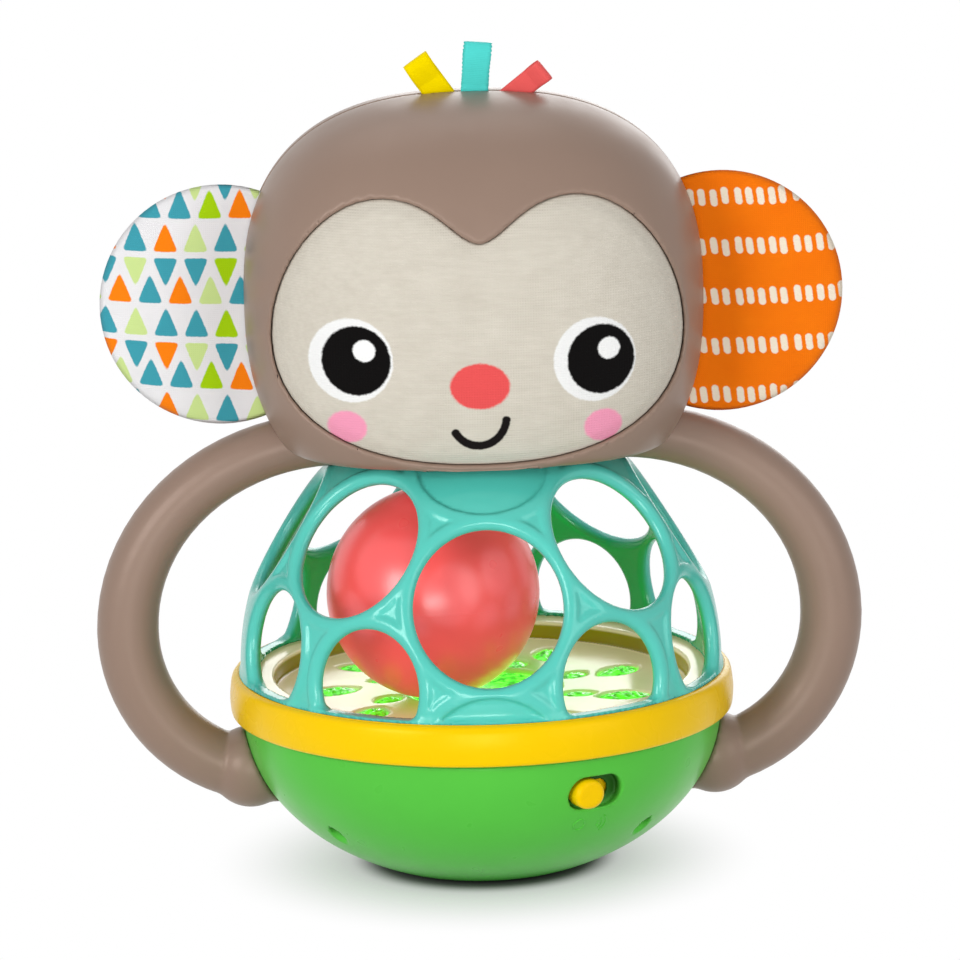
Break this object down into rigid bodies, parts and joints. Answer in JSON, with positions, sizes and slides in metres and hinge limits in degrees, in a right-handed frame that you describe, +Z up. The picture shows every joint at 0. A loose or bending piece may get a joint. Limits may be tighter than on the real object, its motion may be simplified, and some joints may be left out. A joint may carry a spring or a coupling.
{
  "type": "infant rattle",
  "caption": "Light-up infant rattle: animal head with padded cloth face, cloth ears and ribbon tags, arm handles, lattice cage with loose ball, and a bowl base with slide switch.",
  "frame": {"origin": "on the floor, under the centre of the foot", "axes": "+Z up, -Y out of the face, +X to the viewer's right"},
  "size_m": [0.166, 0.11, 0.1806],
  "materials": {
    "green_plastic": "glossy moulded plastic",
    "yellow_plastic": "glossy moulded plastic",
    "teal_plastic": "satin moulded plastic",
    "coral_plastic": "glossy moulded plastic",
    "brown_plastic": "satin moulded plastic",
    "cream_plastic": "translucent moulded plastic",
    "green_lens": "translucent moulded plastic",
    "white_plastic": "plain moulded plastic",
    "face_cloth": "printed knit",
    "ear_white_cloth": "printed woven cotton",
    "ear_orange_cloth": "printed woven cotton",
    "yellow_ribbon": "satin ribbon",
    "teal_ribbon": "satin ribbon",
    "coral_ribbon": "satin ribbon",
    "steel": "plated steel",
    "contact_brass": "plated spring brass",
    "board_laminate": "solder mask",
    "black_plastic": "plain moulded plastic",
    "clear_light": "clear epoxy",
    "red_lead": "plain cable sheath"
  },
  "bodies": {
    "base": {"bowl": "green_plastic", "battery_door": "green_plastic", "collar_ring": "yellow_plastic", "lattice_cage": "teal_plastic", "head_front_shell": "brown_plastic", "head_rear_shell": "brown_plastic", "arm_left": "brown_plastic", "arm_right": "brown_plastic", "light_tray": "cream_plastic", "leaf_lens": "green_lens", "neck_plate": "white_plastic", "face_backing": "white_plastic", "face_pad": "face_cloth", "ear_left_tab": "ear_white_cloth", "ear_right_tab": "ear_orange_cloth", "ribbon_yellow_tab": "yellow_ribbon", "ribbon_teal_tab": "teal_ribbon", "ribbon_coral_tab": "coral_ribbon", "battery_door_screw": "steel", "cell_1": "steel", "cell_2": "steel", "cell_3": "steel", "board_screw_1": "steel", "board_screw_2": "steel", "board_screw_3": "steel", "bowl_screw_1": "steel", "bowl_screw_2": "steel", "bowl_screw_3": "steel", "bowl_screw_4": "steel", "neck_screw_1": "steel", "neck_screw_2": "steel", "neck_screw_3": "steel", "hand_screw_left": "steel", "hand_screw_right": "steel", "head_screw_1": "steel", "head_screw_2": "steel", "head_screw_3": "steel", "head_screw_4": "steel", "contact_plate_upper": "contact_brass", "contact_plate_lower": "contact_brass", "circuit_board": "board_laminate", "switch_body": "black_plastic", "speaker": "black_plastic", "led_1": "clear_light", "led_2": "clear_light", "led_3": "clear_light", "battery_lead": "red_lead", "speaker_lead": "red_lead"},
    "switch": {"switch_knob": "yellow_plastic"},
    "ball": {"ball_upper_half": "coral_plastic", "ball_lower_half": "coral_plastic"},
    "ear_left": {"ear_left_pad": "ear_white_cloth"},
    "ear_right": {"ear_right_pad": "ear_orange_cloth"},
    "ribbon_yellow": {"ribbon_yellow_loop": "yellow_ribbon"},
    "ribbon_teal": {"ribbon_teal_loop": "teal_ribbon"},
    "ribbon_coral": {"ribbon_coral_loop": "coral_ribbon"}
  },
  "joints": [
    {"name": "switch_slide", "type": "slide", "parent": "base", "child": "switch", "axis": [0.9011, 0.4337, 0], "range_m": [0, 0.0035]},
    {"name": "ball_roll", "type": "hinge", "parent": "base", "child": "ball", "pos_m": [0, 0, 0.0618], "axis": [0, 0, 1], "continuous": true},
    {"name": "ear_left_flap", "type": "hinge", "parent": "base", "child": "ear_left", "pos_m": [-0.0501, 0, 0.1247], "axis": [0, 0, 1], "range_deg": [-35, 35], "stiffness_Nm_per_rad": 0.01},
    {"name": "ear_right_flap", "type": "hinge", "parent": "base", "child": "ear_right", "pos_m": [0.0501, 0, 0.1247], "axis": [0, 0, 1], "range_deg": [-35, 35], "stiffness_Nm_per_rad": 0.01},
    {"name": "ribbon_yellow_bend", "type": "hinge", "parent": "base", "child": "ribbon_yellow", "pos_m": [-0.0083, 0, 0.17218], "axis": [0.8191, 0, 0.5736], "range_deg": [-35, 35], "stiffness_Nm_per_rad": 0.002},
    {"name": "ribbon_teal_bend", "type": "hinge", "parent": "base", "child": "ribbon_teal", "pos_m": [0.0012, 0, 0.17095], "axis": [0.9962, 0, -0.0872], "range_deg": [-35, 35], "stiffness_Nm_per_rad": 0.002},
    {"name": "ribbon_coral_bend", "type": "hinge", "parent": "base", "child": "ribbon_coral", "pos_m": [0.0133, 0, 0.17201], "axis": [0.6157, 0, -0.788], "range_deg": [-35, 35], "stiffness_Nm_per_rad": 0.002}
  ]
}
